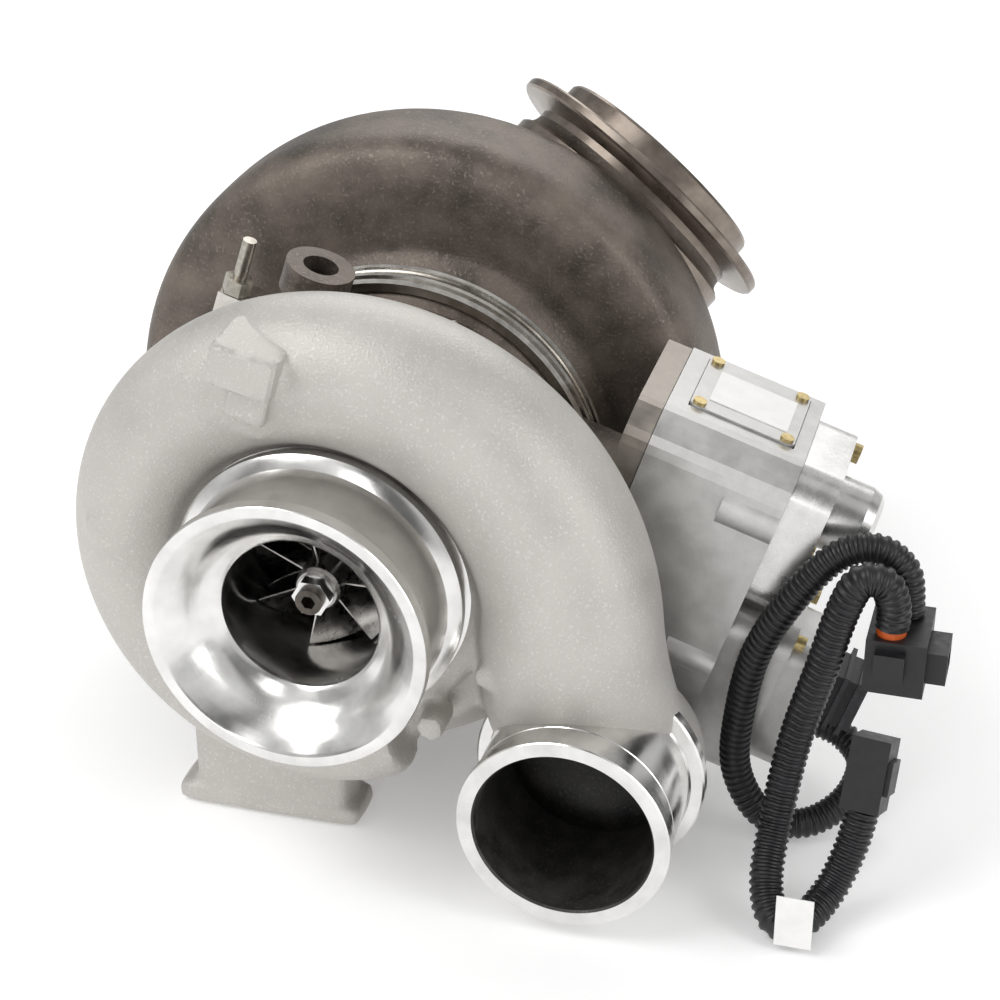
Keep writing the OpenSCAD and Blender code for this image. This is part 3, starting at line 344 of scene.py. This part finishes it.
# Moulded connector: black, faintly grained
MOULDED = finish_of("moulded_black_plastic", ["#111113", "#1c1c1f"], 0.0, 0.46, 4, 0.7, 0.2, 0.05)
# Socket moulding: dark grey
SOCKET = finish_of("socket_moulding", ["#2a2a2c", "#37373a"], 0.0, 0.45, 4, 0.7, 0.2, 0.05)
# Silicone seal: orange
SILICONE = finish_of("orange_silicone", ["#b24a17", "#cc5f24"], 0.0, 0.5, 3, 0.7, 0.1, 0.03)
# Nitrile seal: black
NITRILE = finish_of("nitrile_rubber", ["#121212", "#1c1c1c"], 0.0, 0.6, 3, 0.7, 0.1, 0.03)
# Tag film: white
TAG = finish_of("tag_film", ["#ecebea", "#f5f4f3"], 0.0, 0.45, 10, 0.8, 0.03, 0.01)


def dress(obj, material):
    """Gives an object one material in every slot."""
    if not obj.material_slots:
        obj.data.materials.append(material)
    for s in obj.material_slots:
        s.material = material


# ---- Compressor cover ----

SCROLL_R, SCROLL_GROWTH, SCROLL_Y = 95.0, 40.0, 60.0
TUBE_SMALL, TUBE_LARGE = 17.0, 36.0
OUTLET = np.array([107.0, -82.0])
RING_Y, CORNER_Y, CORNER_R, CORNER_DEPTH = 64.0, 80.0, 45.0, 21.0
BACK_Y = 95.0
COVER_WALL = 5
COVER_GRAIN = 2.0


def scroll_rings(s, wall):
    """Circles that wind round the shaft from -70 degrees by -292 s, growing outwards with s.

    Their outer edge lies at R + growth (0.58 s^0.45 + 0.42 s^5)."""
    s = np.asarray(s, float)[:, None]
    b = around_once(64)
    a = np.radians(-70 - 292 * s)
    r = TUBE_SMALL + (TUBE_LARGE - TUBE_SMALL) * s
    centre = SCROLL_R + SCROLL_GROWTH * (0.58 * s ** 0.45 + 0.42 * s ** 5) - r
    k = r - wall
    q = centre + k * np.cos(b)
    return np.stack([q * np.cos(a), SCROLL_Y - k * np.sin(b), q * np.sin(a)], -1)


def duct_rings(t, wall):
    """Ovals on a cubic curve from the scroll's end to the outlet's corner, widening and leaning back."""
    t = np.asarray(t, float)[:, None]
    a = math.radians(-362)
    p0 = (SCROLL_R + SCROLL_GROWTH - TUBE_LARGE) * np.array([math.cos(a), math.sin(a)])
    p1 = p0 + 26 * np.array([math.sin(a), -math.cos(a)])
    p3 = OUTLET
    p2 = p3 + np.array([-5, 24])
    u = 1 - t
    p = u ** 3 * p0 + 3 * u * u * t * p1 + 3 * u * t * t * p2 + t ** 3 * p3
    d = u * u * (p1 - p0) + 2 * u * t * (p2 - p1) + t * t * (p3 - p2)
    d = d / np.linalg.norm(d, axis=1, keepdims=True)
    k = TUBE_LARGE + (CORNER_R - 2 - TUBE_LARGE) * t - wall
    h = TUBE_LARGE + (CORNER_DEPTH - 2 - TUBE_LARGE) * t * t - wall
    y = SCROLL_Y + (CORNER_Y - SCROLL_Y) * t * t
    b = around_once(64)
    q = k * np.cos(b)
    return np.stack([p[:, :1] - q * d[:, 1:], y - h * np.sin(b), p[:, 1:] + q * d[:, :1]], -1)


def dome(wall, front):
    """Oval dome behind a straight barrel that starts at y = front, on the outlet's axis, less a wall."""
    a = np.radians(np.arange(0, 88, 4))
    r, h = CORNER_R - wall, CORNER_DEPTH - wall
    profile = np.concatenate([[[r, front]], np.stack([r * np.cos(a), CORNER_Y + h * np.sin(a)], 1)])
    return moved(lathe(profile, 72), (OUTLET[0], 0, OUTLET[1]))


def spoke(angle, radius, y0, y1, r, bevel=1.2):
    """Round pad on the cover's face at an angle and radius from the shaft, from y0 to y1."""
    a = math.radians(angle)
    return moved(lathe([[r - bevel, y0], [r, y0 + bevel], [r, y1]], 40),
                 (radius * math.cos(a), 0, radius * math.sin(a)))


cover_shells = [
    tube(scroll_rings(np.linspace(0, 1, 160), 0)),
    tube(duct_rings(np.linspace(0, 1, 24), 0)),
    dome(0, RING_Y + 1),
    turned([[54, 50], [66, 50.5], [69.5, 53], [69.5, 62], [83, 63], [99, 87], [99, BACK_Y], [54, BACK_Y]],
           128),
    soft_block((-34, 25, 90), (-8, 53, 107), 7, 0.25), soft_block((-30, 32, 66), (-12, 50, 100), 6, 0.25),
    soft_block((-78, 60, -132), (6, 87, -123), 9), soft_block((-70, 63, -128), (0, 84, -76), 8),
    spoke(80, 86, 33, 58, 7), spoke(-22, 76, 37, 58, 6), spoke(-52, 74, 39, 58, 6),
    spoke(170, 94, 35, 58, 5), spoke(-150, 88, 39, 58, 5), spoke(27, 90, 29.5, 58, 6)]
cover_cuts = [
    moved(lathe([[36.6, 20], [36.6, RING_Y + 8]], 96), (OUTLET[0], 0, OUTLET[1])),
    dome(COVER_WALL, RING_Y + 7),
    tube(duct_rings(np.linspace(0, 1, 20), COVER_WALL)),
    tube(scroll_rings(np.linspace(0.8, 1, 30), COVER_WALL)),
    moved(lathe([[1.5, 20], [1.5, 29]], 20), (-21, 0, 97))]
# The cover's cut faces take the darkened aluminium as painted shade
cover = casting("cover_casting", cover_shells, cover_cuts, SAND_CAST, DUCT_PAINTED_SHADE, COVER_GRAIN)

# Machined inlet barrel: lip, bell mouth, throat and the contour over the wheel
barrel = solid("inlet_barrel", [turned([
    [57.2, 0], [57.5, 0.4], [57.5, 6], [55, 7.2], [54.6, 20], [55, 36.5], [58.4, 38.2], [60, 39.6],
    [60, 43.4], [58.6, 44.8], [56.4, 45.2], [56.4, 49], [61, 50.4], [61, 60], [80, 82], [80, 88],
    [52, 81], [43, 78],
    [37, 72], [33.2, 63], [32, 53], [32, 21.5], [32.6, 19.6], [34.2, 18], [37, 16.6], [40.4, 13.6], [43, 10],
    [46.2, 6], [49, 3.2], [52, 0.9], [52.8, 0.2], [53.3, 0]], 192)], 24)
# Machined outlet spigot: lip, barrel and a shallow bead
spigot = solid("outlet_spigot", [moved(turned([
    [43.1, 16], [43.5, 16.5], [43.5, 21.4], [42.4, 22.2], [41.9, 23], [41.9, 29.6], [41.6, 30], [41.9, 30.4],
    [41.9, 59.6], [42.6, 60.6], [47.2, 61.2], [48, 62], [48, 66.6], [47, 67.6], [40, 68.4], [36.5, 68.4],
    [36.5, 17], [37.3, 16]], 160), (OUTLET[0], 0, OUTLET[1]))], 24)
dress(spigot, TURNED)
# The spigot's bore faces take the darkened aluminium as painted shade
paint_inside(spigot, OUTLET, DUCT_PAINTED_SHADE)
# Lifting lug: a crisp cast block on a short stem
lug = solid("cover_lug", [soft_block((-34, 21, 91), (-7, 52, 108), 14, 0.25),
                          soft_block((-29, 27, 76), (-12, 44, 96), 10, 0.25)])

# ---- Compressor wheel ----

WHEEL_Y, WHEEL_BACK, HUB_R, EYE_R = 47.0, 87.0, 9.5, 31


def hub_line(y):
    """Hub radius that flares to the rim: 9.5 + 36 s^3.2 over the wheel's depth."""
    s = np.clip((y - WHEEL_Y + 4) / (WHEEL_BACK - WHEEL_Y), 0, 1)
    return HUB_R + 36 * s ** 3.2


def wheel_blade(turn, start):
    """Curved blade: u runs from inlet to rim and v from hub to tip.

    The angle wraps by 1 radian at the eye's radius, less towards the hub, and sweeps on beyond it."""
    u = np.linspace(0, 1, 30)[:, None]
    v = np.linspace(0, 1, 14)[None, :]
    y_hub, y_tip = start + (WHEEL_BACK - 3 - start) * u, start + (WHEEL_BACK - 6 - start) * u ** 1.15
    r_hub = hub_line(y_hub) - 0.6
    r_tip = 31.2 + 15.6 * np.clip((y_tip - 60) / (WHEEL_BACK - 66), 0, 1) ** 2.2
    y = y_hub + (y_tip - y_hub) * v
    r = r_hub + (r_tip - r_hub) * v
    depth = (y - WHEEL_Y) / (WHEEL_BACK - WHEEL_Y)
    wrap = (1 - (1 - depth) ** 1.8) * (0.35 + 0.65 * r / EYE_R)
    angle = math.radians(turn) + wrap + 0.35 * np.maximum(r - EYE_R, 0) / 16
    half = (0.5 + 0.5 * (1 - v)) * (0.35 + 0.65 * np.sin(np.pi * np.clip(u, 0.02, 0.9))) / r
    sides = [np.stack([r * np.cos(angle + g * half), y, r * np.sin(angle + g * half)], -1) for g in (-1, 1)]
    return tube(np.concatenate([sides[0], sides[1][:, ::-1]], 1))


hub_y = np.linspace(WHEEL_Y - 4, WHEEL_BACK - 3, 24)
hub = [[HUB_R - 1, WHEEL_Y - 8], [HUB_R, WHEEL_Y - 6.5]] + [[hub_line(y), y] for y in hub_y] + [
    [47, WHEEL_BACK - 3], [47, WHEEL_BACK], [5.6, WHEEL_BACK], [5.6, WHEEL_Y - 8]]
wheel = solid("compressor_wheel_bladed", [turned(hub, 96)]
              + [wheel_blade(360 * i / 7, WHEEL_Y) for i in range(7)]
              + [wheel_blade(360 * (i + 0.5) / 7, WHEEL_Y + 11) for i in range(7)], 30)

# ---- Turbine housing ----

VOLUTE_Y, VOLUTE_HALF, VOLUTE_SMALL, VOLUTE_R = 214.0, 31.0, 112.0, 142.0
FLOOR = -132.0
HOUSING_GRAIN = 2.2


def corner(v):
    """Superellipse of power 4: sign(v) |v|^(1/2)."""
    return np.sign(v) * np.abs(v) ** 0.5


def volute_rings(s, wall):
    """Rounded-square sections winding up from -115 degrees to the left side, growing as s^0.75."""
    s = np.asarray(s, float)[:, None]
    a = np.radians(-115 + 295 * s)
    d = 26 + 11 * s
    centre = VOLUTE_SMALL + (VOLUTE_R - VOLUTE_SMALL) * s ** 0.75 - d
    b = around_once(72)
    q = centre + (d - wall) * corner(np.cos(b))
    y = VOLUTE_Y + (VOLUTE_HALF - wall) * corner(np.sin(b)) + 0 * s
    return np.stack([q * np.cos(a), y, q * np.sin(a)], -1)


def inlet_rings(t, wall):
    """Straight leg from the volute's end down to the flange, its section easing to 36 by 28."""
    t = np.asarray(t, float)[:, None]
    k = 37 + (36 - 37) * t - wall
    w = VOLUTE_HALF + (28 - VOLUTE_HALF) * t - wall
    b = around_once(72)
    return np.stack([-105 - k * corner(np.cos(b)), VOLUTE_Y + w * corner(np.sin(b)),
                     (14 + FLOOR) * t + 0 * b], -1)


WAY = np.array([0.561, 0.514, 0.649])
WAY = WAY / np.linalg.norm(WAY)
SIDE = np.cross(WAY, [0, 0, 1])
SIDE = SIDE / np.linalg.norm(SIDE)
OUT_TURN = np.stack([SIDE, WAY, np.cross(SIDE, WAY)], 1)
OUT_FROM = np.array([0, 235.0, 0])


def along_outlet(shell):
    """A shell made round the Y axis, laid along the turbine outlet."""
    return moved(shell, OUT_FROM, OUT_TURN)


def ball(r, centre):
    """Ball of radius r with small flats at its poles."""
    a = np.radians(np.arange(-87, 88, 6))
    return moved(lathe(np.stack([r * np.cos(a), r * np.sin(a)], 1), 72), centre)


flange_block = soft_block((-151, 176, -132), (-59, 252, -118), 14)
turbine_shells = [
    tube(volute_rings(np.linspace(0, 1, 160), 0)),
    tube(inlet_rings(np.linspace(0, 1, 30), 0)),
    turned([[42, 157], [82, 156.3], [82, 162.3], [78.5, 168], [79, 176], [88, 184], [96, 187], [96, 214],
            [88, 232], [60, 243], [42, 243]], 128),
    ball(60, (0, 231, 0)),
    along_outlet(lathe([[55, -5], [55, 96], [56, 99], [61, 101], [61, 110], [57, 112], [56, 121]], 96)),
    flange_block]
turbine_cuts = [
    # Room for the nozzle ring, then the pocket that its vanes slide into
    lathe([[73.5, 150], [73.5, 198.3], [66.7, 198.4], [66.7, 209.6], [56.9, 209.7], [56.9, 198.5],
           [42, 198.6], [42, 236]], 96),
    ball(46, (0, 231, 0)),
    along_outlet(lathe([[46, 0], [46, 150]], 96)),
    tube(inlet_rings(np.linspace(-0.1, 1.2, 16), 7))]
# The housing's cut faces take the darkened iron as painted shade
housing = casting("turbine_casting", turbine_shells, turbine_cuts, FIRED_IRON, TURBINE_PAINTED_SHADE, HOUSING_GRAIN, 4)
# Turned V-flange rings at the outlet, with a deep groove between them
rings = solid("outlet_rings", [along_outlet(turned([
    [46, 116], [56.6, 116], [56.6, 119.5], [62, 121.4], [70, 122], [71, 123], [71, 126], [70.2, 127],
    [60, 127.6], [54.6, 128.6], [54.5, 136.6], [53.6, 138], [47.4, 138], [46, 137]], 160)),
    along_outlet(turned([
        [54, 99.5], [60.4, 100.6], [61.4, 101.6], [61.4, 109.6], [60.2, 110.8], [54, 111.6]], 128))], 24)

# Rolled beads on the V-band
band = solid("band_beads", [
    turned([[86.5, y], [88.6, y + 0.6], [89.2, y + 2], [88.6, y + 3.4], [86.5, y + 4]], 160)
    for y in (150, 159)])

# ---- Harness ----


def spline(points, steps):
    """Smooth line through the points: the cubic that each point's two neighbours set the slope of."""
    p = np.asarray(points, float)
    q = np.concatenate([p[:1], p, p[-1:]])
    t = np.arange(steps)[:, None, None] / steps
    a, b, c, d = q[:-3], q[1:-2], q[2:-1], q[3:]
    square, cube = 2 * a - 5 * b + 4 * c - d, 3 * b - a - 3 * c + d
    curve = 0.5 * (2 * b + (c - a) * t + square * t ** 2 + cube * t ** 3)
    return np.concatenate([curve.transpose(1, 0, 2).reshape(-1, 3), p[-1:]])


def even(line, step):
    """The same line with points a fixed step apart, how far along it each lies, and its length."""
    run = np.concatenate([[0], np.cumsum(np.linalg.norm(np.diff(line, axis=0), axis=1))])
    count = max(2, int(round(run[-1] / step)) + 1)
    s = np.linspace(0, run[-1], count)
    return np.stack([np.interp(s, run, line[:, i]) for i in range(3)], 1), s, run[-1]


def conduit(name, route, radius, pitch=3.0):
    """Split corrugated hose: circles along the route, whose radius dips by a rounded groove every pitch.

    A narrow slit runs along one side. Frames are carried without twist."""
    line, s, length = even(spline(route, 24), pitch / 8)
    d = np.gradient(line, axis=0)
    d /= np.linalg.norm(d, axis=1, keepdims=True)
    n = np.zeros_like(line)
    n[0] = np.cross(d[0], [0.3, 1, 0.2])
    n[0] /= np.linalg.norm(n[0])
    for i in range(1, len(line)):
        n[i] = n[i - 1] - d[i] * (n[i - 1] @ d[i])
        n[i] /= np.linalg.norm(n[i])
    side = np.cross(d, n)
    a = around_once(32)
    wave = np.clip(0.5 + 1.1 * np.cos(2 * np.pi * s / pitch), 0, 1)[:, None]
    wave = wave * wave * (3 - 2 * wave)
    slit = np.exp(-(np.abs(np.angle(np.exp(1j * (a - 1.2)))) / 0.16) ** 2)
    r = radius * (1 - 0.13 * (1 - wave) * (1 - slit) - 0.05 * slit)
    r[0] = r[-1] = radius * 0.9
    spread = np.cos(a)[..., None] * n[:, None] + np.sin(a)[..., None] * side[:, None]
    obj = solid(name, [tube(line[:, None] + r[..., None] * spread)], 50)
    return obj, line * MM, length * MM


MAIN_ROUTE = [
    [185, 148, -98], [200, 147, -103], [210, 137, -109], [206, 121, -118], [191, 108, -124],
    [173, 103, -119], [161, 103, -98], [161, 103, -70], [167, 102, -38], [181, 102, -9], [196, 106, 9],
    [211, 109, 13], [223, 110, 4], [226, 108, -14]]
BRANCH_ROUTE = [
    [221, 92, -11], [221, 92, -2], [217, 91, 8], [208, 89, 9], [202, 88, -4], [196, 84, -29],
    [188, 78, -62], [184, 66, -94], [184, 50, -113], [190, 39, -123], [200, 42, -124], [209, 56, -117],
    [215, 66, -102], [218, 72, -86]]
main_hose, main_path, main_length = conduit("main_hose", MAIN_ROUTE, 6.5)
branch_hose, branch_path, branch_length = conduit("branch_hose", BRANCH_ROUTE, 7.0)

# ---- Finishes on pieces ----

NODE_FINISH = {
    SAND_CAST: ["compressor_cover"],
    PLATED: ["cover_clamps", "cover_bolts", "drain_bolts", "v_band_bolt", "v_band_nut", "plate_bolts"],
    NITRILE: ["cover_seal"],
    TURNED: ["backplate", "wheel_nut"],
    ALLOY: ["shaft", "seal_rings", "heat_shield", "turbine_wheel", "nozzle_ring", "shroud_plate",
            "motor_can"],
    GROUND: ["thrust_collar", "oil_slinger", "bush_spacer", "push_rods", "yoke", "cross_shaft",
             "sector_gear", "idler_gear", "idler_pin"],
    BEARING: ["thrust_bearing", "journal_bushes", "cross_bushes"],
    CORE_IRON: ["bearing_housing"],
    BAND: ["v_band", "shroud_clip"],
    FIRED_IRON: ["turbine_housing"],
    WHEEL_SHADED_ALUMINIUM: ["compressor_wheel"],
    COPPER: ["motor_rotor"],
    PLATE: ["gearbox_plate"],
    DIE_CAST: ["gearbox_housing", "gearbox_lid", "lower_cover"],
    BRASSY: ["lid_screws", "cap_screws", "lower_screws"],
    LABEL: ["label_plate"],
    BOARD: ["control_board"],
    BRIGHT: ["end_cap", "motor_cap"],
    SOCKET: ["header_socket"],
    MOULDED: ["main_gland", "loop_plug", "end_plug"],
    SILICONE: ["loop_seal"],
    HOSE: ["main_conduit", "branch_conduit"],
    TAG: ["tag_flag"]}

for material, names in NODE_FINISH.items():
    for node_name in names:
        dress(nodes[node_name], material)

for obj, material, body, slot_name, replaced in [
        (cover, None, "casing", "cast_aluminium", ["compressor_cover"]),
        (lug, SAND_CAST, "casing", "cast_aluminium", []),
        (band, BAND, "casing", "band_steel", []),
        (barrel, TURNED, "casing", "machined_aluminium", []),
        (spigot, None, "casing", "machined_aluminium", []),
        (wheel, WHEEL_SHADED_ALUMINIUM, "rotor", "machined_aluminium", ["compressor_wheel"]),
        (housing, None, "casing", "turbine_iron", ["turbine_housing"]),
        (rings, TURNED_IRON, "casing", "turbine_iron", []),
        (main_hose, HOSE, "casing", "conduit_black", ["main_conduit"]),
        (branch_hose, HOSE, "casing", "conduit_black", ["branch_conduit"])]:
    if material:
        dress(obj, material)
    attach(obj, body)
    if replaced:
        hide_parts(*replaced)

# ---- Stage and light ----

# Half the floor's side, and its height half a millimetre under the lowest piece, in metres
FLOOR_HALF, FLOOR_Z = 4, -0.1325
floor_corners = [[x * FLOOR_HALF, y * FLOOR_HALF, FLOOR_Z] for x, y in ((-1, -1), (1, -1), (1, 1), (-1, 1))]
floor = piece("floor", floor_corners, [[0, 1, 2, 3]])
floor_paint = bpy.data.materials.new("pale_floor")
floor_paint.use_nodes = True
tree = floor_paint.node_tree
tree.nodes.clear()
paint = add(tree, "ShaderNodeBsdfDiffuse", {"Color": linear("#f1f1f1")})
glow = add(tree, "ShaderNodeEmission", {"Color": (1, 1, 1, 1), "Strength": 0.24})
both = add(tree, "ShaderNodeAddShader")
tree.links.new(paint.outputs[0], both.inputs[0])
tree.links.new(glow.outputs[0], both.inputs[1])
surface = add(tree, "ShaderNodeOutputMaterial")
tree.links.new(both.outputs[0], surface.inputs["Surface"])
floor.data.materials.append(floor_paint)


def softbox(name, at, target, size, power):
    """Rectangular area lamp that faces a point."""
    lamp = bpy.data.lights.new(name, "AREA")
    lamp.shape, lamp.size, lamp.size_y = "RECTANGLE", size[0], size[1]
    lamp.energy = power
    obj = bpy.data.objects.new(name, lamp)
    bpy.context.scene.collection.objects.link(obj)
    aim = (Vector(target) - Vector(at)).to_track_quat("-Z", "Y").to_matrix().to_4x4()
    obj.matrix_world = Matrix.Translation(at) @ aim


softbox("key_softbox", (-0.9, -0.7, 1.5), (0, 0.1, 0), (1.1, 1.1), 16)
softbox("side_softbox", (1.5, -0.4, 0.7), (0.05, 0.1, 0), (0.5, 1.4), 7)
softbox("front_strip", (0.1, -1.6, 0.5), (0, 0, 0), (0.3, 1.2), 3.5)
softbox("back_softbox", (-0.2, 1.5, 1.1), (0, 0.1, 0), (1.6, 0.6), 9)

# Walls of the room round the compass, as (share of a turn, brightness): white screens with dark gaps
WALLS = [(0.0, 0.9), (0.08, 1.0), (0.12, 0.35), (0.17, 1.0), (0.26, 1.0), (0.29, 0.2), (0.33, 0.25),
         (0.36, 1.0), (0.5, 1.0), (0.56, 0.3), (0.6, 1.0), (0.8, 1.0), (0.86, 0.4), (0.92, 1.0)]
world = bpy.data.worlds.new("studio")
bpy.context.scene.world = world
world.use_nodes = True
tree = world.node_tree
tree.nodes.clear()
rays = add(tree, "ShaderNodeLightPath")
way = add(tree, "ShaderNodeTexCoord")
axes = add(tree, "ShaderNodeSeparateXYZ", links={"Vector": (way, "Generated")})
turn = add(tree, "ShaderNodeMath", links={0: (axes, "Y"), 1: (axes, "X")}, operation="ARCTAN2")
share = add(tree, "ShaderNodeMapRange", {"From Min": -math.pi, "From Max": math.pi}, {"Value": (turn, 0)})
walls = add(tree, "ShaderNodeValToRGB", links={"Fac": (share, "Result")})
for i, (at, level) in enumerate(WALLS):
    stop = walls.color_ramp.elements[i] if i < 2 else walls.color_ramp.elements.new(at)
    stop.position, stop.color = at, (level, level, level, 1)
room = add(tree, "ShaderNodeBackground", {"Strength": 0.62}, {"Color": (walls, "Color")})
backdrop = add(tree, "ShaderNodeBackground", {"Color": (1, 1, 1, 1), "Strength": 1.0})
seen = add(tree, "ShaderNodeMixShader", links={"Fac": (rays, "Is Camera Ray")})
tree.links.new(room.outputs[0], seen.inputs[1])
tree.links.new(backdrop.outputs[0], seen.inputs[2])
sky = add(tree, "ShaderNodeOutputWorld")
tree.links.new(seen.outputs[0], sky.inputs["Surface"])
bpy.context.scene.view_settings.view_transform = "Standard"
